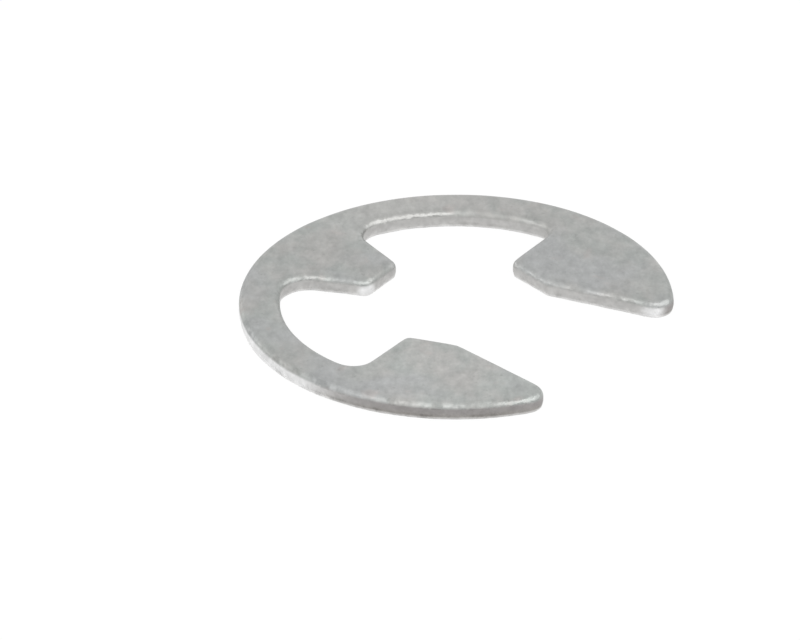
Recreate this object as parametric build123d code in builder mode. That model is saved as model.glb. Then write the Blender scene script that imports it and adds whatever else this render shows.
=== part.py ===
"""E clip: a flat spring-steel retaining ring, blanked from sheet, that snaps into a shaft groove.

The shaft axis is Z. The clip lies on the XY plane with its mouth towards -Y, and its die-roll side,
where the press has rounded the edges most, faces up. All sizes are in millimetres.
"""

import os

from build123d import *

# ---- Blank -----------------------------------------------------------------
OUTER_DIAMETER = 13.4  # round outer edge of the ring
THICKNESS = 0.57  # sheet thickness

# ---- Lugs that grip the groove ---------------------------------------------
SEAT_DIAMETER = 5.5  # circle that the three flat lug tips touch
BACK_LUG_WIDTH = 1.6  # width of the back lug at its tip
BACK_FLANK_ANGLE = 21.5  # how far each flank of the back lug flares from the Y axis
SIDE_LUG_ANGLE = 15.3  # how far each side lug's tip faces forward of the X axis
SIDE_FLANK_Y = -0.09  # where the side lug's rear flank leaves its tip, along Y
SIDE_FLANK_ANGLE = 0.7  # how far that flank rises from the X axis as it runs outwards

# ---- Recesses between the lugs ---------------------------------------------
RIM_WIDTH = 1.34  # metal between the recesses and the outer edge, at the sides
RECESS_OFFSET = 0.09  # how far the recesses' centre lies behind the shaft axis, which thins the rim there
BACK_RECESS_FILLET = 0.88  # recess corner beside the back lug
SIDE_RECESS_FILLET = 0.57  # recess corner beside the side lug

# ---- Mouth -----------------------------------------------------------------
THROAT_WIDTH = 4.75  # narrowest gap between the side lugs
MOUTH_ANGLE = 10.7  # how far each mouth edge opens from the Y axis
ARM_TIP_FILLET = 0.59  # round end of each arm
LUG_CORNER_FILLET = 0.3  # corners of the lug tips

# ---- Section of the blanked edge, from the top face down -------------------
DIE_ROLL = 0.24  # rounding that the die leaves along the top edges
BREAKOUT_HEIGHT = 0.2  # lower part of the wall, where the sheet tore instead of shearing
BREAKOUT_DEPTH = 0.03  # how far the torn part leans inwards by the lower face
BURR_ROUNDING = 0.06  # what tumbling leaves of the burr along the bottom edges

# ---- Derived ---------------------------------------------------------------
outer_radius = OUTER_DIAMETER / 2
recess_radius = outer_radius - RIM_WIDTH
seat_radius = SEAT_DIAMETER / 2
past_rim = outer_radius * 1.5  # far enough out to cut right through the rim


def corner(sketch, point):
    """The sketch's corner nearest to a point."""
    return sketch.vertices().sort_by_distance(point)[0]


# ---- Right half of the opening: back lug, recess, side lug and mouth -------
with BuildLine() as opening_line:
    rim_edge = CenterArc((0, RECESS_OFFSET), recess_radius, -90, 180, mode=Mode.PRIVATE)
    back_tip = Line((0, seat_radius), (BACK_LUG_WIDTH / 2, seat_radius))
    back_flank = IntersectingLine(back_tip @ 1, Vector(0, 1).rotate(Axis.Z, -BACK_FLANK_ANGLE), rim_edge)

    tip_touch = Vector(seat_radius, 0).rotate(Axis.Z, -SIDE_LUG_ANGLE)
    tip_along = Vector(0, 1).rotate(Axis.Z, -SIDE_LUG_ANGLE)
    tip_back = tip_touch + tip_along * ((SIDE_FLANK_Y - tip_touch.Y) / tip_along.Y)
    tip_front = tip_touch + tip_along * ((THROAT_WIDTH / 2 - tip_touch.X) / tip_along.X)
    side_flank = IntersectingLine(tip_back, Vector(1, 0).rotate(Axis.Z, SIDE_FLANK_ANGLE), rim_edge)
    recess = RadiusArc(back_flank @ 1, side_flank @ 1, recess_radius)
    side_tip = Line(tip_back, tip_front)
    mouth = PolarLine(tip_front, past_rim, MOUTH_ANGLE - 90)
    Polyline(mouth @ 1, (0, (mouth @ 1).Y), (0, seat_radius))

with BuildSketch() as outline:
    # Half of the round blank, with the opening cut out of it.
    Circle(outer_radius)
    Rectangle(outer_radius, 2 * outer_radius, align=(Align.MAX, Align.CENTER), mode=Mode.SUBTRACT)
    make_face(opening_line.line, mode=Mode.SUBTRACT)

    # Each corner gets its own rounding before the half is mirrored.
    fillet(corner(outline, back_flank @ 1), BACK_RECESS_FILLET)
    fillet(corner(outline, side_flank @ 1), SIDE_RECESS_FILLET)
    fillet([corner(outline, p) for p in (back_tip @ 1, tip_back, tip_front)], LUG_CORNER_FILLET)
    arm_tip = outline.vertices().filter_by(lambda v: v.Y < tip_front.Y).sort_by(Axis.Y)[0]
    fillet(arm_tip, ARM_TIP_FILLET)
    mirror(about=Plane.YZ)

# ---- The clip --------------------------------------------------------------
with BuildPart() as e_clip:
    add(outline.sketch)
    extrude(amount=THICKNESS)
    upper_face = e_clip.faces().sort_by(Axis.Z)[-1]
    fillet(upper_face.edges(), DIE_ROLL)
    lower_face = e_clip.faces().sort_by(Axis.Z)[0]
    chamfer(lower_face.edges(), BREAKOUT_DEPTH, BREAKOUT_HEIGHT, reference=lower_face)
    lower_face = e_clip.faces().sort_by(Axis.Z)[0]
    fillet(lower_face.edges(), BURR_ROUNDING)

e_clip.part.label = "e_clip"
os.makedirs("parts", exist_ok=True)
export_step(e_clip.part, "parts/e_clip.step")
print("volume", round(e_clip.part.volume, 3), "mm3, size", e_clip.part.bounding_box().size)
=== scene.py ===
# %% [markdown]
# # An e clip, dressed in Blender
# This lesson takes the plain solid of a small retaining ring and gives it the look of the real thing: thin
# blanked spring steel, tumbled and then plated with zinc. The solid already has the right form, but its mesh
# is only as fine as a physics model needs. So we cut a finer skin to the same sizes, plate it with a
# procedural metal, and light it on a white table.

# %% Load the solid that everything is fitted to
import math
import random

import bmesh
import bpy
import numpy as np
from mathutils import Matrix, Vector
from mathutils.geometry import delaunay_2d_cdt


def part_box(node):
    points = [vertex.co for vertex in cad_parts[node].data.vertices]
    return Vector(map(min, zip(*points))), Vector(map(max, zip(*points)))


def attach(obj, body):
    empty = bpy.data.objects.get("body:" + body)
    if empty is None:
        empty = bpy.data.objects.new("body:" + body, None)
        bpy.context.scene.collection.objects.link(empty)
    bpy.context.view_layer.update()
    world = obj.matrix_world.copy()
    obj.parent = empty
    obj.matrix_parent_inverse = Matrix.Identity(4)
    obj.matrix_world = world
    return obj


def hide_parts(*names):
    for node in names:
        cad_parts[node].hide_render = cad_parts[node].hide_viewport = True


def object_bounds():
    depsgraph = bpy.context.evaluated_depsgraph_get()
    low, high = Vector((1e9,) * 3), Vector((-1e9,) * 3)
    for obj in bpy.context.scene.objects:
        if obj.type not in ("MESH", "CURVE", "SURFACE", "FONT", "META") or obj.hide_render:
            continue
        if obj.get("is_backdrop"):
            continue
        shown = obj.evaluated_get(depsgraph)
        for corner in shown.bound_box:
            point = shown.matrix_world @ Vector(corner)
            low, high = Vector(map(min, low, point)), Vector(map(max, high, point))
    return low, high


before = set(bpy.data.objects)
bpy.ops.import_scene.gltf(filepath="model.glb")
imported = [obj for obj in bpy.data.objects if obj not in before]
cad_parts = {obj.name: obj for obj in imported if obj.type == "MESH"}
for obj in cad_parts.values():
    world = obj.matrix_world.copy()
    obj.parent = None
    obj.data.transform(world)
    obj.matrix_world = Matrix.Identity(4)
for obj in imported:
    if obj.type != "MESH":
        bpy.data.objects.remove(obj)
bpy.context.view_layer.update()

clip_low, clip_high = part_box("e_clip")
MM = 0.001
SHEET = (clip_high[2] - clip_low[2]) / MM
RIM_RADIUS = (clip_high[0] - clip_low[0]) / 2 / MM
print(f"solid: {2 * RIM_RADIUS:.2f} mm across, {SHEET:.2f} mm thick")

# %% [markdown]
# ## The camera
# A small part keeps its true proportions when it is seen from far away through a long lens. So we stand well
# back: the lens is about ten times longer than a normal one, and the far side of the ring comes out almost as
# large as the near side. The camera is placed by two angles around a point on the table near the middle of the
# clip, as on a globe.

# %% Place the camera
CAMERA_AROUND = math.radians(-54.96)  # 0 looks along +Y, into the mouth
CAMERA_ABOVE = math.radians(29.35)  # height over the table, as an angle
CAMERA_ROLL = math.radians(0.27)  # slight tilt of the whole view
CAMERA_DISTANCE = 39.8 * RIM_RADIUS * MM


def direction(around, above):
    """A unit vector from the clip towards a place around it and above the table."""
    return Vector((math.sin(around) * math.cos(above), -math.cos(around) * math.cos(above), math.sin(above)))


look_at = Vector((-0.209, 0.170, 0)) * RIM_RADIUS * MM
to_camera = direction(CAMERA_AROUND, CAMERA_ABOVE)
camera = bpy.data.objects.new("camera", bpy.data.cameras.new("camera"))
bpy.context.scene.collection.objects.link(camera)
camera.matrix_world = (Matrix.Translation(look_at + to_camera * CAMERA_DISTANCE)
                       @ to_camera.to_track_quat("Z", "Y").to_matrix().to_4x4()
                       @ Matrix.Rotation(-CAMERA_ROLL, 4, "Z"))
camera.data.sensor_width = 36
camera.data.lens = 390
camera.data.clip_start = 0.01
camera.data.clip_end = 10
bpy.context.scene.camera = camera
print(f"camera {CAMERA_DISTANCE / MM:.0f} mm away with a {camera.data.lens:.0f} mm lens")

# %% [markdown]
# ## The outline
# A press cuts the whole outline in one stroke, with a punch whose corners are all ground round, because a
# sharp corner would chip the punch and start a crack in the spring. So the outline is nothing but arcs, and
# each straight edge is only what joins one arc to the next. A Bezier curve with a bevel would be quicker to
# draw, but its section is the same all the way round, and a blanked edge isn't. Working out the arcs
# ourselves keeps every size exact and leaves the section free.

# %% The sizes of the outline, in millimetres
SEAT_RADIUS = 2.75  # the circle that the three lug tips touch
BACK_LUG_HALF_WIDTH = 0.8
BACK_FLANK_ANGLE = math.radians(21.5)
SIDE_LUG_ANGLE = math.radians(15.3)
SIDE_FLANK_Y = -0.09
SIDE_FLANK_ANGLE = math.radians(0.7)
RIM_WIDTH = 1.34
BACK_RECESS_ROUND = 0.88
SIDE_RECESS_ROUND = 0.57
HALF_THROAT = 2.375
MOUTH_ANGLE = math.radians(10.7)
ARM_TIP_ROUND = 0.59
LUG_ROUND = 0.3
shaft_axis = np.array((0.0, 0.0))
recess_axis = np.array((0.0, 0.09))
recess_radius = RIM_RADIUS - RIM_WIDTH
print(f"recesses on a circle of {recess_radius:.2f} mm radius")


# %% Directions on the sheet
def heading(angle):
    """A unit vector at an angle clockwise from +Y, as on a compass."""
    return np.array((math.sin(angle), math.cos(angle)))


def left_of(way):
    return np.array((-way[1], way[0]))


def right_of(way):
    return np.array((way[1], -way[0]))


back_flank_way = heading(BACK_FLANK_ANGLE)
side_flank_way = -heading(math.pi / 2 - SIDE_FLANK_ANGLE)
side_tip_out = heading(math.pi / 2 + SIDE_LUG_ANGLE)
side_tip_way = right_of(side_tip_out)
mouth_way = heading(math.pi - MOUTH_ANGLE)
back_tip_way = heading(math.pi / 2)
print("the right edge of the mouth runs towards", mouth_way.round(2))

# %% [markdown]
# Walking along the outline with the metal on our left, we meet two kinds of corner. One lies between two
# straight edges, and its arc is centred on the line that halves the angle. The other is where a straight edge
# runs into a circle, the inner or the outer edge of the rim, and its arc is centred as far from the straight
# edge as from the circle.


# %% Centres of the rounded corners
def between_edges(corner, way_in, way_out, radius):
    halfway = (way_out - way_in) / np.linalg.norm(way_out - way_in)
    half_angle = math.acos(np.dot(-way_in, way_out)) / 2
    return corner + halfway * radius / math.sin(half_angle)


def inside_circle(start, way, side, circle_centre, circle_radius, radius):
    """Beside the edge that leaves start, and touching the circle from inside, at the edge's far end."""
    beside = start + side * radius
    from_centre = beside - circle_centre
    along = np.dot(from_centre, way)
    reach = along ** 2 - np.dot(from_centre, from_centre) + (circle_radius - radius) ** 2
    return beside + way * (math.sqrt(reach) - along)


back_corner = np.array((BACK_LUG_HALF_WIDTH, SEAT_RADIUS))
side_tip = side_tip_out * SEAT_RADIUS
side_back_corner = side_tip + side_tip_way * (SIDE_FLANK_Y - side_tip[1]) / side_tip_way[1]
side_front_corner = side_tip + side_tip_way * (HALF_THROAT - side_tip[0]) / side_tip_way[0]
back_recess = inside_circle(back_corner, back_flank_way, right_of(back_flank_way),
                            recess_axis, recess_radius, BACK_RECESS_ROUND)
side_recess = inside_circle(side_back_corner, -side_flank_way, right_of(side_flank_way),
                            recess_axis, recess_radius, SIDE_RECESS_ROUND)
arm_tip = inside_circle(side_front_corner, mouth_way, left_of(mouth_way),
                        shaft_axis, RIM_RADIUS, ARM_TIP_ROUND)
print("arm tip centred at", arm_tip.round(2), "mm")


# %% Points along an arc
ARC_STEP = 0.02  # half the step of the finished outline
FEWEST_ARC_POINTS = 12


def arc(centre, radius, first, last, bulges):
    """Points from one direction to another: anticlockwise where the metal bulges out, else clockwise."""
    a, b = math.atan2(first[1], first[0]), math.atan2(last[1], last[0])
    turn = (b - a) % math.tau if bulges else -((a - b) % math.tau)
    angles = np.linspace(a, a + turn, max(int(abs(turn) * radius / ARC_STEP), FEWEST_ARC_POINTS))
    return centre + radius * np.column_stack((np.cos(angles), np.sin(angles)))


def corner_arc(corner, way_in, way_out):
    return arc(between_edges(corner, way_in, way_out, LUG_ROUND), LUG_ROUND,
               right_of(way_in), right_of(way_out), True)


tip_arc = arc(arm_tip, ARM_TIP_ROUND, right_of(mouth_way), arm_tip, True)
print(len(tip_arc), "points round an arm's tip")

# %% The right half, from the back lug's tip round to the back of the rim, and its mirror image
right_half = np.concatenate((
    [(0, SEAT_RADIUS)],
    corner_arc(back_corner, back_tip_way, back_flank_way),
    arc(back_recess, BACK_RECESS_ROUND, left_of(back_flank_way), back_recess - recess_axis, False),
    arc(recess_axis, recess_radius, back_recess - recess_axis, side_recess - recess_axis, False),
    arc(side_recess, SIDE_RECESS_ROUND, side_recess - recess_axis, left_of(side_flank_way), False),
    corner_arc(side_back_corner, side_flank_way, side_tip_way),
    corner_arc(side_front_corner, side_tip_way, mouth_way),
    tip_arc,
    arc(shaft_axis, RIM_RADIUS, arm_tip, (0, 1), True)))
left_half = right_half[::-1] * (-1, 1)
loop = np.concatenate((right_half, left_half[1:]))
print(len(loop), "points along the arcs")

# %% [markdown]
# The arcs have uneven spacing, and the section that we are about to sweep needs an even mesh. So the loop is
# measured along its length and divided into equal steps. At each step we also want the direction straight
# out of the metal, and how sharply the outline turns there, because the press treats corners differently.

# %% Even steps, the way out of the metal, and the turning
STEP = 0.04
SAME_POINT = 1e-6
leg = np.linalg.norm(np.diff(loop, axis=0), axis=1)
loop = loop[:-1][leg > SAME_POINT]
closed = np.vstack((loop, loop[:1]))
run = np.concatenate(([0], np.cumsum(np.linalg.norm(np.diff(closed, axis=0), axis=1))))
round_trip = run[-1]
count = int(round_trip / STEP)
walked = np.arange(count) * round_trip / count
edge = np.column_stack([np.interp(walked, run, closed[:, k]) for k in (0, 1)])
way = np.roll(edge, -1, axis=0) - np.roll(edge, 1, axis=0)
way /= np.linalg.norm(way, axis=1)[:, None]
outwards = np.column_stack((way[:, 1], -way[:, 0]))
bearing = np.unwrap(np.arctan2(way[:, 1], way[:, 0]))
turning = (np.roll(bearing, -2) - np.roll(bearing, 2) + math.pi) % math.tau - math.pi
turning /= 4 * round_trip / count
print(f"outline {round_trip:.1f} mm long in {count} steps")


# %% A smooth random wobble that meets itself after one trip round
def smooth_round(values, reach):
    """A moving average along the closed outline."""
    steps = max(int(reach / STEP), 1)
    kernel = np.hanning(2 * steps + 3)
    padded = np.concatenate((values[-steps - 1:], values, values[:steps + 1]))
    return np.convolve(padded, kernel / kernel.sum(), "valid")


USUAL_PEAK = 1.6  # of many waves together, over the square root of their number


def wobble(seed, shortest, longest, waves=40):
    """Waves between two lengths in millimetres, adding up to about -1 to 1."""
    rng = random.Random(seed)
    total = np.zeros(count)
    for _ in range(waves):
        turns = round(round_trip / rng.uniform(shortest, longest))
        total += np.sin(math.tau * (turns * walked / round_trip + rng.random()))
    return total / math.sqrt(waves) / USUAL_PEAK


print(f"one wave round the whole clip would be {round_trip:.1f} mm long")

# %% [markdown]
# ## The section of a blanked edge
# Seen in section, the cut edge of the sheet has four parts. At the top the sheet is drawn down before it is
# cut, which leaves the die roll, a soft rounding that is larger at outside corners and smaller in recesses.
# Below it is the land, where the punch shears the metal smooth and upright. Then the rest tears, and leans in
# a little. Last comes the burr, which tumbling wears to a small rounding. We sweep these four along the
# outline as rows of points, each with its distance in from the outline and its height.

# %% Sizes of the section along the way
DIE_ROLL = 0.24
BREAKOUT_HEIGHT = 0.2
BREAKOUT_DEPTH = 0.03
BURR_ROUNDING = 0.06
CORNER_REACH = 0.25  # how far along the edge a corner is felt
PULL_PER_TURN = 0.05  # share of the die roll, for a corner of 1 mm radius
LEAST_PULL, MOST_PULL = -0.16, 0.07
corner_pull = np.clip(smooth_round(turning, CORNER_REACH) * PULL_PER_TURN, LEAST_PULL, MOST_PULL)
roll = DIE_ROLL * (1 + corner_pull + 0.035 * wobble(3, 0.7, 6))
burr = BURR_ROUNDING * (1 + 0.3 * wobble(5, 0.4, 3))
tear_line = BREAKOUT_HEIGHT + 0.02 * wobble(8, 0.3, 4)
print(f"die roll from {roll.min():.2f} to {roll.max():.2f} mm")

# %% The rows, from the lower face up to the upper one
FOOT_MARGIN, TOP_MARGIN = 0.02, 0.012  # from a rounding to the extra row on the face
flush = np.zeros(count)
rows = [(burr + BREAKOUT_DEPTH + FOOT_MARGIN, flush)]
for angle in np.radians((0, 30, 60, 90)):
    rows.append((BREAKOUT_DEPTH + burr * (1 - math.sin(angle)), burr * (1 - math.cos(angle))))
rows.append((BREAKOUT_DEPTH / 2 + flush, (burr + tear_line) / 2))
rows.append((flush, tear_line))
for angle in np.radians(np.linspace(0, 90, 10)):
    rows.append((roll * (1 - math.cos(angle)), SHEET - roll * (1 - math.sin(angle))))
rows.append((roll + TOP_MARGIN, SHEET + flush))
print(len(rows), "rows")

# %% Points of the skin
DEEPEST_INSET = LUG_ROUND - 0.004  # at the centre of a corner's arc the rows would fold over
verts = []
for inset, height in rows:
    flat = edge - outwards * np.clip(inset, 0, DEEPEST_INSET)[:, None]
    verts += [(x * MM, y * MM, z * MM) for (x, y), z in zip(flat, height)]
print(len(verts), "points")

# %% [markdown]
# The rows are joined by a band of quads. The two faces of the sheet are flat, but a polygon with thousands of
# corners that bends around a mouth is too much for Blender's usual way of cutting polygons into triangles, so
# we ask for a Delaunay triangulation, which copes with any outline. Just inside each rounding there is one
# more row at the same height as the face. It holds the shading of the flat face level right up to where the
# rounding starts; without it the whole face would look pillowed.

# %% The band that goes round the edge
mesh = bpy.data.meshes.new("clip_skin")
shape = bmesh.new()
points = [shape.verts.new(v) for v in verts]
for row in range(len(rows) - 1):
    for i in range(count):
        j = (i + 1) % count
        low, high = row * count, (row + 1) * count
        shape.faces.new((points[low + i], points[low + j], points[high + j], points[high + i]))
print(len(shape.faces), "quads in the band")

# %% The two flat faces
ONLY_INSIDE = 1  # triangles outside the ring are dropped
MERGE_DISTANCE = 1e-7
for ring, facing_up in ((points[-count:], True), (points[:count], False)):
    flat_ring = [Vector((v.co.x, v.co.y)) / MM for v in ring]
    _, _, triangles, origin, _, _ = delaunay_2d_cdt(
        flat_ring, [], [list(range(count))], ONLY_INSIDE, MERGE_DISTANCE)
    for triangle in triangles:
        corners = [ring[origin[k][0]] for k in triangle]
        shape.faces.new(corners if facing_up else corners[::-1])
    print(len(triangles), "triangles in one flat face")

# %% The skin takes the place of the solid
for face in shape.faces:
    face.smooth = True
shape.to_mesh(mesh)
shape.free()
clip = bpy.data.objects.new("clip_skin", mesh)
bpy.context.scene.collection.objects.link(clip)
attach(clip, "root")
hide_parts("e_clip")
print(len(mesh.polygons), "faces")

# %% [markdown]
# ## Writing materials as sums
# A metal's look is mostly a few masks and a few sums of them, and such sums are hard to read as a web of
# nodes. So we wrap a socket in a small class that Python can add and multiply, and each sum then adds its own
# Math node. Every other node comes from one method that is told the kind of node, its settings and what goes
# into its sockets.


# %% A socket that Python can do sums with
class Value:
    def __init__(self, web, socket):
        self.web, self.socket = web, socket

    def __add__(self, other):
        return self.web.maths("ADD", self, other)

    def __sub__(self, other):
        return self.web.maths("SUBTRACT", self, other)

    def __rsub__(self, other):
        return self.web.maths("SUBTRACT", other, self)

    def __mul__(self, other):
        return self.web.maths("MULTIPLY", self, other)

    def __truediv__(self, other):
        return self.web.maths("DIVIDE", self, other)

    __radd__, __rmul__ = __add__, __mul__

    def unsigned(self):
        return self.web.maths("ABSOLUTE", self)

    def or_if_larger(self, other):
        """The larger of the two at every place, so that masks can overlap."""
        return self.web.maths("MAXIMUM", self, other)

    def held(self):
        """The same value kept between 0 and 1."""
        return self.web.maths("ADD", self, 0.0, clamp=True)

    def between(self, low, high):
        """0 below low, 1 above high and a soft step between; low may be the larger."""
        sockets = {"Value": self, "From Min": low, "From Max": high}
        return self.web.node("ShaderNodeMapRange", {"interpolation_type": "SMOOTHSTEP"}, sockets)


print("a Value can be added, subtracted, multiplied and divided")


# %% A web of nodes that makes them
class Web:
    def __init__(self, owner):
        owner.use_nodes = True
        self.tree = owner.node_tree
        self.tree.nodes.clear()

    def node(self, kind, settings=None, sockets=None, output=0):
        made = self.tree.nodes.new(kind)
        for name, setting in (settings or {}).items():
            setattr(made, name, setting)
        for name, value in (sockets or {}).items():
            socket = self.find(made.inputs, name)
            if isinstance(value, Value):
                self.tree.links.new(value.socket, socket)
            else:
                socket.default_value = value
        return Value(self, self.find(made.outputs, output))

    @staticmethod
    def find(sockets, name):
        if isinstance(name, int):
            return sockets[name]
        return next(s for s in sockets if name in (s.identifier, s.name) and s.enabled)

    def maths(self, operation, *terms, clamp=False):
        settings = {"operation": operation, "use_clamp": clamp}
        return self.node("ShaderNodeMath", settings, dict(enumerate(terms)))

    def vector_maths(self, operation, *terms, output=0):
        """The same for places and colours, which an ordinary Math node would turn into one number."""
        return self.node("ShaderNodeVectorMath", {"operation": operation}, dict(enumerate(terms)), output)

    def scaled(self, vector, by):
        """A place or a colour times a number."""
        return self.node("ShaderNodeVectorMath", {"operation": "SCALE"}, {0: vector, "Scale": by})

    def blend(self, amount, a, b):
        """Colour a where amount is 0 and b where it is 1."""
        sockets = {"Factor_Float": amount, "A_Color": a, "B_Color": b}
        return self.node("ShaderNodeMix", {"data_type": "RGBA"}, sockets, "Result_Color")

    def show(self, shader, kind):
        """Ends the web in the node that puts it on a surface or on the world."""
        end = self.tree.nodes.new(kind)
        self.tree.links.new(shader.socket, end.inputs["Surface"])

    def noise(self, place, size, detail=2.0, roughness=0.5):
        """Cloudy noise with lumps of about this size in millimetres."""
        sockets = {"Vector": place, "Scale": 1 / size, "Detail": detail, "Roughness": roughness}
        return self.node("ShaderNodeTexNoise", {}, sockets, 0)


print("material helpers ready")

# %% [markdown]
# ## Bright zinc over tumbled steel
# The plating is a few thousandths of a millimetre thick, so it follows every mark below it. A painted texture
# would need an unwrapped mesh, and its grain would be only as fine as its dots. Noise that is worked out from the
# place on the clip needs no unwrapping and has no dots. So first we take that place, in millimetres, from object
# coordinates. The height and the slope there tell the faces, the roundings and the cut edge from each other.

# %% Where on the clip are we?
plating = bpy.data.materials.new("zinc_plated_spring_steel")
zinc = Web(plating)
metres = zinc.node("ShaderNodeTexCoord", output="Object")
place = zinc.scaled(metres, 1 / MM)
height = zinc.node("ShaderNodeSeparateXYZ", {}, {0: place}, "Z")
normal = zinc.node("ShaderNodeNewGeometry", output="Normal")
slope = zinc.node("ShaderNodeSeparateXYZ", {}, {0: normal}, "Z")
steepness = 1 - slope.unsigned()  # 0 on the faces, 1 on an upright wall
wall = steepness.between(0.55, 0.95)
rounding = steepness.between(0.01, 0.15) * steepness.between(0.98, 0.8)
below_land = steepness.between(0.02, 0.25) * height.between(0.27, 0.19)
cut_edge = wall.or_if_larger(below_land)
print(len(zinc.tree.nodes), "nodes tell the faces from the edges")

# %% [markdown]
# Noise can't put a mark where the real clip has one. For the few marks that do have a place of their own, we
# measure the distance to a spot on the clip, in the same millimetres.


# %% A soft round mark at a spot
def near(spot, full, none):
    """1 within one distance of a spot on the clip, and 0 beyond another, in millimetres."""
    return zinc.vector_maths("DISTANCE", place, spot, output="Value").between(none, full)


RIGHT_TIP = (*arm_tip, SHEET)
LEFT_TIP = (-RIGHT_TIP[0], RIGHT_TIP[1], SHEET)
LUG_CORNER = (-BACK_LUG_HALF_WIDTH, SEAT_RADIUS, 0.15)
# Painted highlights: two small bright spots painted into the colour, low on the right arm's tip and on a corner of
# the back lug.
painted_highlights = near((RIGHT_TIP[0] - 0.45, RIGHT_TIP[1] - 0.3, 0.1), 0.2, 0.6) + near(LUG_CORNER, 0.2, 0.45)
print("arm tips at", [round(v, 2) for v in RIGHT_TIP[:2]], "and mirrored")

# %% [markdown]
# The rim's outer edge carries painted light and painted shade. Towards the camera's left the whole edge is painted
# bright, as painted light, and over most of the rest of the rim it is painted darker, as painted shade. One dot
# product gives how far a place lies towards the painted-light side, and only the outer edge of the rim takes part.
# Two small painted highlights, at the right arm's tip and at a corner of the back lug, are as bright as that side.

# %% The rim's painted light and painted shade
# Painted light and painted shade: the rim's outer edge is painted bright towards this side and darker away from
# it.
PAINTED_LIGHT_SIDE = (-0.574, 0.819, 0)
flat_place = zinc.vector_maths("MULTIPLY", place, (1, 1, 0))
radius = zinc.vector_maths("LENGTH", flat_place, output="Value")
rim_edge = radius.between(RIM_RADIUS - 0.5, RIM_RADIUS - 0.1)
towards_painted_light = zinc.vector_maths("DOT_PRODUCT", place, PAINTED_LIGHT_SIDE, output="Value") / RIM_RADIUS
# Painted shade over most of the rim's outer edge; painted light towards the bright side and on the two painted
# highlights.
rim_painted_shade = rim_edge * towards_painted_light.between(0.72, 0.32)
painted_light = painted_highlights.or_if_larger(rim_edge * towards_painted_light.between(0.5, 0.75))
# Prints the side towards which the rim's edge is painted bright.
print("the roomy side lies towards", PAINTED_LIGHT_SIDE[:2])

# %% [markdown]
# Zinc grows in patches, and the sheet below it was rolled and tumbled, so no one size of noise looks right. We
# add up four: clouds wider than the lugs' corners, blotches about half as wide as the sheet is thick, specks, and
# a fine grain. Rolling the sheet drew all of them out by half in one direction, which a Mapping node does to the
# place before the noise sees it. The line where the sheet began to tear wanders as well, so noise is added to the
# height before we ask whether a place lies below it.

# %% Noise from clouds down to grain
ROLLING_DIRECTION = math.radians(35)  # from +X
DRAWN_OUT = 1.5
CLOUD, BLOTCH, SPECK, GRAIN = 1.3, 0.33, 0.12, 0.045  # widths in millimetres
TEAR_RAGGEDNESS = 0.14
rolled = zinc.node("ShaderNodeMapping", {"vector_type": "TEXTURE"}, {
    "Vector": place, "Rotation": (0, 0, ROLLING_DIRECTION), "Scale": (DRAWN_OUT, 1, 1)})
cloud = zinc.noise(rolled, CLOUD, 3.0, 0.6)
blotch = zinc.noise(rolled, BLOTCH, 2.0, 0.55)
speck = zinc.noise(rolled, SPECK, 2.0, 0.6)
grain = zinc.noise(rolled, GRAIN, 1.0, 0.5)
ragged_height = height + (zinc.noise(place, 0.16, 2.0) - 0.5) * TEAR_RAGGEDNESS
torn = ragged_height.between(0.30, 0.12) * cut_edge
print(f"noise from {CLOUD} mm down to {GRAIN} mm")

# %% [markdown]
# ### Colour of the faces
# Clear-passivated zinc is a grey with a faint green in it. The passivation is uneven, which gives soft warm and
# cool clouds, and where it ran thin there are brownish stains. Tumbling leaves small nicks that look darker.
# The three greys differ by only a few hundredths, because real zinc is far more even than it first seems. Two
# larger areas of the faces are painted a little brighter, as painted light: the left arm, and the back of the rim
# on the right, which is warmer in tint as well.

# %% Face colour
cool, warm = (0.394, 0.412, 0.399, 1), (0.419, 0.415, 0.403, 1)
blue = (0.404, 0.412, 0.411, 1)
stain_colour = (0.415, 0.385, 0.372, 1)
warm_back_and_painted_light = near((4.0, 4.8, SHEET), 1.0, 4.0)
# Painted light: the left arm and the back of the rim are painted a little brighter on the faces.
painted_light_area = 0.10 * near((-4.0, -2.6, SHEET), 1.5, 4.0) + 0.07 * warm_back_and_painted_light
warmth = cloud.between(0.35, 0.68)
greys = zinc.blend(warmth.or_if_larger(0.8 * warm_back_and_painted_light), cool, warm)
bluer = zinc.noise(place, 2.6, 2.0, 0.5).between(0.48, 0.68) * (1 - warm_back_and_painted_light)
stain = zinc.noise(place, 0.75, 2.0, 0.5).between(0.60, 0.76)
face_colour = zinc.blend(stain * 0.55, zinc.blend(bluer, greys, blue), stain_colour)
nicks = zinc.noise(place, 0.2, 2.0, 0.5).between(0.66, 0.76) * (1 - wall)
print("faces from", cool[:3], "to", warm[:3])

# %% [markdown]
# ### Colour of the cut edge
# The land is burnished by the die, and the torn part below it is rough, and painted paler, partly as a painted
# reflection of the table below it. Both are painted darker over most of the rim's outer edge, as painted shade,
# and towards the camera's left the whole edge is painted bright, as painted light. The burr at the very bottom
# sticks out, so tumbling wears it first, and it is painted the palest of all, as a painted reflection of the
# table just below it. The cut happened after the rolling, so the edge has a mottle of its own that isn't drawn
# out.

# %% Edge colour
# The torn part's paler colour is partly a painted reflection of the table below it.
land_colour, torn_colour = (0.51, 0.505, 0.495, 1), (0.57, 0.565, 0.555, 1)
# Painted shade: darker colours for most of the rim's outer edge.
painted_shade_land, painted_shade_tear = (0.335, 0.320, 0.315, 1), (0.37, 0.355, 0.34, 1)
# Painted light: the first colour is painted on the rim's edge towards the camera's left and on two small
# highlights.
painted_light_colour, burr_colour = (0.80, 0.80, 0.80, 1), (0.82, 0.815, 0.81, 1)
edge_with_painted_light = zinc.blend(painted_light, zinc.blend(torn, land_colour, torn_colour), painted_light_colour)
painted_shade_edge = zinc.blend(torn, painted_shade_land, painted_shade_tear)
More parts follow.
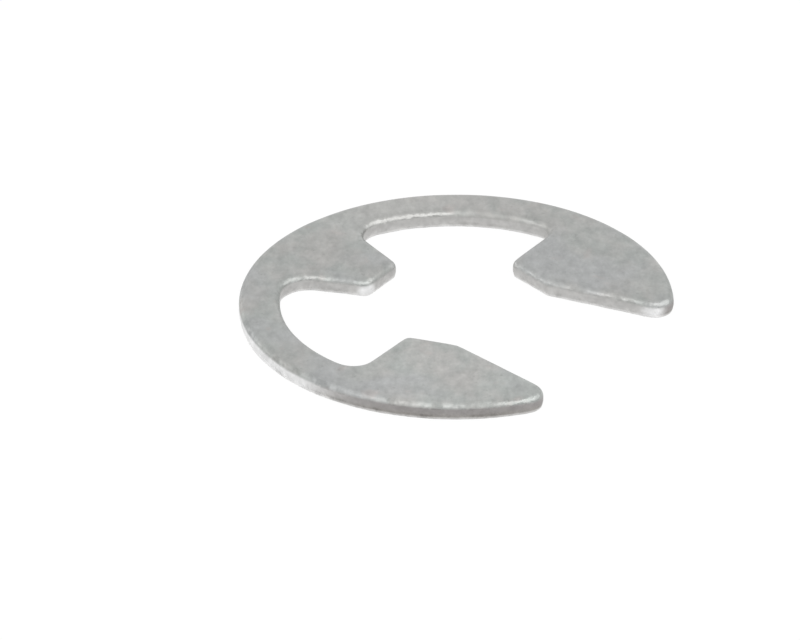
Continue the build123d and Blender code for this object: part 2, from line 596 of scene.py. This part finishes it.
# Painted reflection: the burr is painted palest, standing in for the table just below it.
burr_painted_reflection = steepness.between(0.02, 0.25) * height.between(0.13, 0.05)
edge_colour = zinc.blend(0.6 * burr_painted_reflection, zinc.blend(rim_painted_shade, edge_with_painted_light, painted_shade_edge), burr_colour)
print("land", land_colour[:3], "and torn part", torn_colour[:3])

# %% Both colours together, with their mottle
plain_colour = zinc.blend(cut_edge, face_colour, edge_colour)
mottle = 0.52 * blotch + 0.26 * speck + 0.07 * grain
edge_mottle = 0.3 * zinc.noise(place, 0.9, 3.0, 0.6) + 0.45 * zinc.noise(place, 0.2, 2.0, 0.5) + 0.05
shade = 0.545 + mottle * (1 - cut_edge) + edge_mottle * cut_edge - 0.14 * nicks
# The faces are brightened here by the two painted light areas.
colour = zinc.scaled(plain_colour, shade * (1 + painted_light_area * (1 - cut_edge)))
print(len(zinc.tree.nodes), "nodes up to the colour")

# %% [markdown]
# ### Wear on the roundings
# The rounded edges are what a clip rubs on, so their shine comes and goes in short stretches. Noise gives most
# of that. A stretch of the right recess and the tip of the right arm have gone dull, while the places beside
# that stretch, and the tip of the left arm, have kept their shine. The rim's outer rounding is dull on the side
# where its edge is painted bright, where the sheet was dragged down furthest, and still shiny on the other side.

# %% Worn and shiny stretches
dull = near((4.9, 2.3, SHEET), 0.7, 1.3) + near((RIGHT_TIP[0] + 0.5, RIGHT_TIP[1] - 0.1, SHEET), 0.45, 0.75)
shiny_recess = near((3.15, 4.3, SHEET), 1.1, 1.7) + near((5.3, 0.8, SHEET), 0.3, 0.7)
shiny = 0.85 * shiny_recess + near(LEFT_TIP, 0.8, 1.3)
patches = zinc.noise(place, 0.6, 3.0, 0.65).between(0.44, 0.60) * (1 - shiny)
worn = patches.or_if_larger(dull) * rounding
rubbed = rim_edge * rounding * towards_painted_light.between(-0.35, 0.3)
print("two dull stretches and three shiny ones")

# %% [markdown]
# ### Relief
# The land keeps fine upright drag lines from the punch, so their noise is squeezed upwards, which draws its
# lumps out that way. Knocks ripple the roundings, and small dents, where clips hit each other, are the middles
# of Voronoi cells. All of it goes to one Bump node as heights in metres. That keeps the true depth of each, and
# it would be lost if every kind of mark had a Bump node and a strength of its own.

# %% Marks on the metal
SQUEEZE_UPWARDS = (1, 1, 0.12)
upright = zinc.vector_maths("MULTIPLY", place, SQUEEZE_UPWARDS)
drag_lines = zinc.noise(upright, 0.05, 2.0) * wall * (1 - torn)
tear = zinc.noise(place, 0.07, 3.0, 0.7) * torn
knocks = zinc.noise(place, 0.28, 2.0, 0.55) * rounding * (1 + 0.5 * shiny)
dents = zinc.node("ShaderNodeTexVoronoi", {}, {"Vector": place, "Scale": 1.6}, "Distance").between(0.11, 0.02)
print("four kinds of mark")

# %% Their depths, in millimetres
BLOTCH_DEPTH, SPECK_DEPTH, GRAIN_DEPTH = 0.007, 0.003, 0.0005
KNOCK_DEPTH, DRAG_DEPTH, TEAR_DEPTH, DENT_DEPTH = 0.03, 0.004, 0.016, 0.004
skin_relief = BLOTCH_DEPTH * blotch + SPECK_DEPTH * speck + GRAIN_DEPTH * grain
marks = KNOCK_DEPTH * knocks + DRAG_DEPTH * drag_lines + TEAR_DEPTH * tear - DENT_DEPTH * dents
relief = (skin_relief + marks) * MM
bumped = zinc.node("ShaderNodeBump", {}, {"Height": relief, "Distance": 1.0, "Strength": 1.0})
print(f"from {GRAIN_DEPTH} mm for the grain up to {KNOCK_DEPTH} mm for the knocks")

# %% [markdown]
# ### Roughness
# Polished metal mirrors the room, and rough metal blurs it. Tumbled zinc lies in between and is never even, so
# the same clouds and blotches that tint it also change how sharply it mirrors. The torn part and the worn
# stretches are rougher than the rest.

# %% Roughness and the finished metal
satin = 0.22 + 0.14 * blotch + 0.08 * cloud
roughness = satin + 0.14 * torn + 0.12 * wall + 0.28 * worn + 0.16 * rubbed
metal = zinc.node("ShaderNodeBsdfPrincipled", {}, {
    "Base Color": colour, "Metallic": 1.0, "Roughness": roughness, "Normal": bumped})
zinc.show(metal, "ShaderNodeOutputMaterial")
mesh.materials.append(plating)
print(len(zinc.tree.nodes), "nodes in the plating")

# %% [markdown]
# ## The table
# The clip lies on a white table that has no visible edge. To the camera, and in the metal, most of its
# brightness is a plain glow with a strength of about 1, which is white. The rest is real paper, so that the
# clip's shadow still shows under its edges.


# %% Table top
def seen_directly(web):
    """1 for what the camera sees, straight or in a reflection, and 0 for light on its way to a surface."""
    camera_ray = web.node("ShaderNodeLightPath", output="Is Camera Ray")
    glossy_ray = web.node("ShaderNodeLightPath", output="Is Glossy Ray")
    clear_ray = web.node("ShaderNodeLightPath", output="Is Transmission Ray")
    return (camera_ray + glossy_ray + clear_ray).held()


paper = bpy.data.materials.new("white_table")
table_web = Web(paper)
matt = table_web.node("ShaderNodeBsdfDiffuse", {}, {"Color": (0.82, 0.82, 0.82, 1)})
glow = table_web.node("ShaderNodeEmission", {}, {"Color": (1, 1, 1, 1), "Strength": 1.03})
GLOW_SHARE = 0.9
glow_amount = seen_directly(table_web) * GLOW_SHARE
table_mix = table_web.node("ShaderNodeMixShader", {}, {0: glow_amount, 1: matt, 2: glow})
table_web.show(table_mix, "ShaderNodeOutputMaterial")
print("paper under a glow of", GLOW_SHARE)

# %% The table itself
FAR = 3.0  # metres from the clip to the edge of the table
JUST_BELOW = 1e-6
table_mesh = bpy.data.meshes.new("table")
table_mesh.from_pydata([(-FAR, -FAR, 0), (FAR, -FAR, 0), (FAR, FAR, 0), (-FAR, FAR, 0)], [], [(0, 1, 2, 3)])
table_mesh.materials.append(paper)
table = bpy.data.objects.new("table", table_mesh)
table.location.z = clip_low[2] - JUST_BELOW
bpy.context.scene.collection.objects.link(table)
table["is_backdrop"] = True
print("table", 2 * FAR, "m wide")

# %% [markdown]
# ## The light
# Metal has no brightness of its own: it shows what is around it. An even white room gives the calm grey of the
# faces. On a rounded edge each part faces another way, so somewhere along its curve it shows any lamp that
# stands in front, as a bright line. A row of tall soft lamps therefore draws one line along every edge that
# faces us, however the edge turns, and their height sets how wide it is. The lamp at the left end of the row is
# weaker, because that part of the rim has almost no line, and a low strip beyond it lights the wall there, whose
# colour is painted bright as well.

# %% White room
world = bpy.data.worlds.new("white_room")
bpy.context.scene.world = world
room = Web(world)
brightness = 0.8 + 0.2 * seen_directly(room)
air = room.node("ShaderNodeBackground", {}, {"Color": (1, 1, 1, 1), "Strength": brightness})
room.show(air, "ShaderNodeOutputWorld")
print("room lit evenly from all sides")


# %% A row of lamps, and one strip
def lamp(name, around, above, distance, width, length, power):
    """A soft rectangular lamp that faces the clip; angles in degrees, distances in metres, power in watts."""
    light = bpy.data.lights.new(name, "AREA")
    light.shape = "RECTANGLE"
    light.size, light.size_y, light.energy = width, length, power
    holder = bpy.data.objects.new(name, light)
    towards = direction(math.radians(around), math.radians(above))
    holder.location = towards * distance
    holder.rotation_euler = towards.to_track_quat("Z", "Y").to_euler()
    bpy.context.scene.collection.objects.link(holder)


front_row = ((-115, 0.27), (-68, 0.44), (-20, 0.44), (28, 0.44))  # angle around and power
ROW_ABOVE, ROW_DISTANCE, ROW_LAMP_SIZE = 36, 0.5, 0.42
for number, (around, power) in enumerate(front_row):
    lamp(f"front_lamp_{number}", around, ROW_ABOVE, ROW_DISTANCE, ROW_LAMP_SIZE, ROW_LAMP_SIZE, power)
lamp("left_strip", around=-170, above=14, distance=0.4, width=0.4, length=0.16, power=0.16)
print(len(front_row), "lamps in the row, at", ROW_ABOVE, "degrees above the table")

# %% [markdown]
# The edge of bright metal stands out when it mirrors something dark. A flag does that: a dark card just outside
# the view. Ours is low and in front, and no camera sees it. Only the steep part of the roundings reflects it, as a
# dark line under each highlight.

# %% Dark flag
FLAG_DISTANCE, FLAG_TOP = 0.3, 0.07
FLAG_FOLDS = (-95, -75, -55, -35, -15)  # angles around the clip
card = bpy.data.materials.new("dark_card")
card_web = Web(card)
card_web.show(card_web.node("ShaderNodeBsdfDiffuse", {}, {"Color": (0.40, 0.40, 0.40, 1)}),
              "ShaderNodeOutputMaterial")
card_mesh = bpy.data.meshes.new("flag")
ends = [direction(fold, 0) * FLAG_DISTANCE for fold in np.radians(FLAG_FOLDS)]
up = len(ends)
card_mesh.from_pydata([(*end.xy, z) for z in (0, FLAG_TOP) for end in ends], [],
                      [(i, i + 1, i + 1 + up, i + up) for i in range(up - 1)])
card_mesh.materials.append(card)
flag = bpy.data.objects.new("flag", card_mesh)
flag.visible_camera = False
bpy.context.scene.collection.objects.link(flag)
flag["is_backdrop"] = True
print(f"flag {FLAG_DISTANCE:.1f} m away and {FLAG_TOP:.2f} m high")

# %% [markdown]
# ## Finish
# The view transform is the plain one, so a colour comes out about as it was written. Last we print the corners of
# the box around the dressed clip, which should match the plain solid's box to a few thousandths of a millimetre.

# %% View transform and the box of the dressed clip
bpy.context.scene.view_settings.view_transform = "Standard"
visual_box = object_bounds()
for name, corner in zip(("low", "high"), visual_box):
    print(name, "corner in mm:", [round(v / MM, 3) for v in corner])
